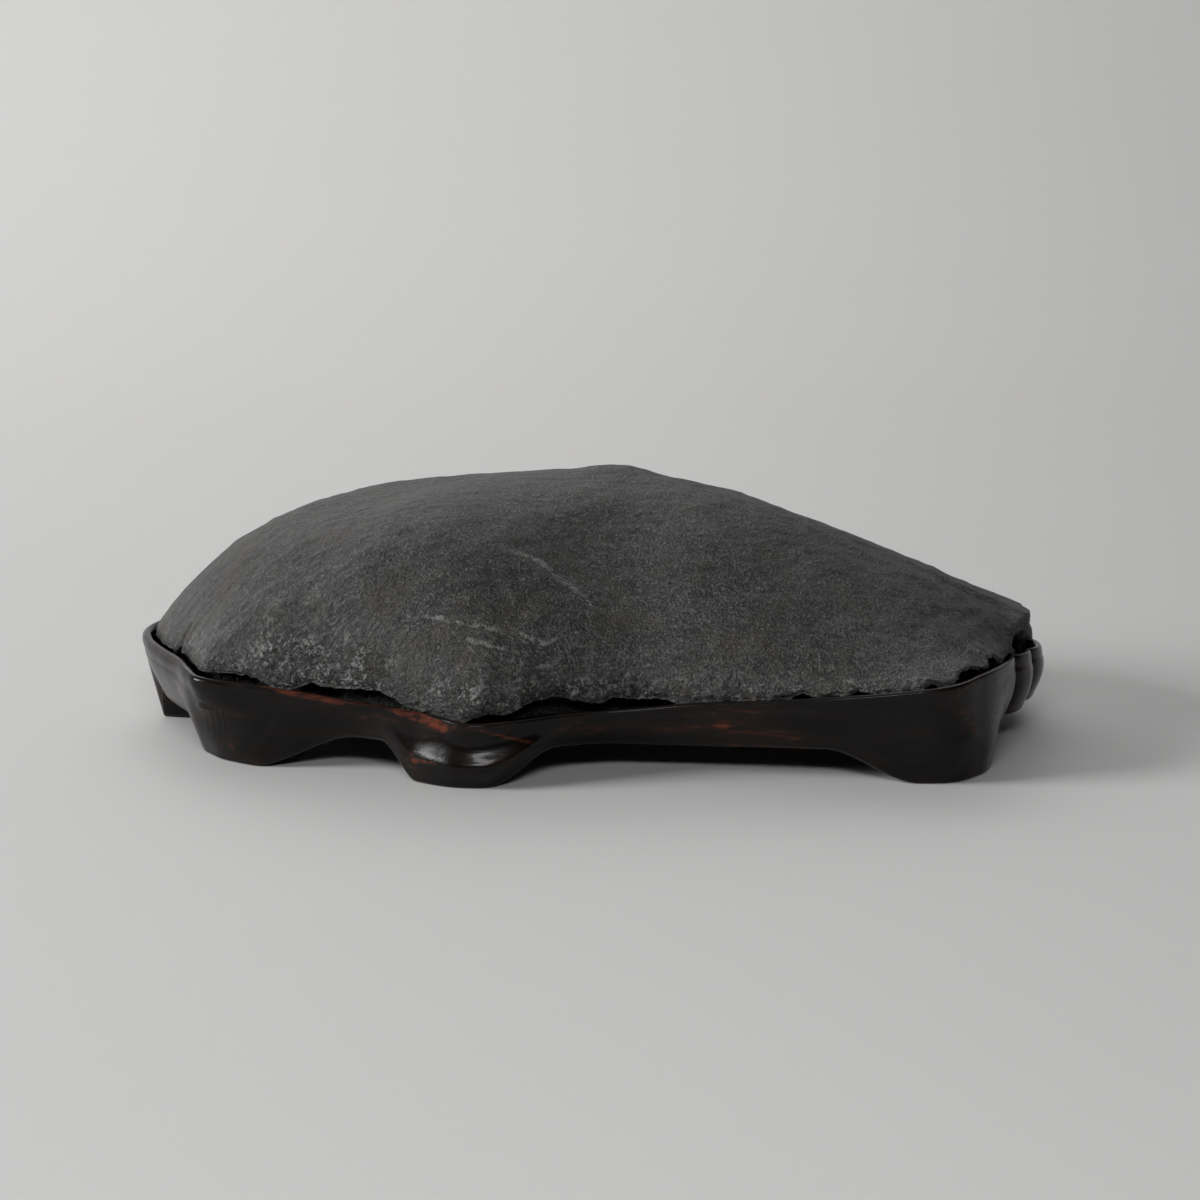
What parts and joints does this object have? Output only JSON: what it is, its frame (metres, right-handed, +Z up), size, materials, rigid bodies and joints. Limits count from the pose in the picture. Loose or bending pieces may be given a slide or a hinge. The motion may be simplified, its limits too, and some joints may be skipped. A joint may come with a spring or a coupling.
{
  "type": "scholars rock",
  "caption": "Low, dome-shaped dark slate scholar's rock with a chipped edge, seated in a carved hardwood tray stand with short feet.",
  "frame": {"origin": "middle of the stand's footprint, on the plane of its soles", "axes": "+X along the length towards the stone's pointed end, +Y towards the back, +Z up"},
  "size_m": [0.3012, 0.1656, 0.0847],
  "materials": {
    "slate": "dark charcoal slate, finely streaked, dull with glossy broken hollows",
    "rosewood": "near-black rosewood with red-brown streaks, polished"
  },
  "bodies": {
    "root": {"stone": "slate", "stand": "rosewood"}
  },
  "joints": []
}
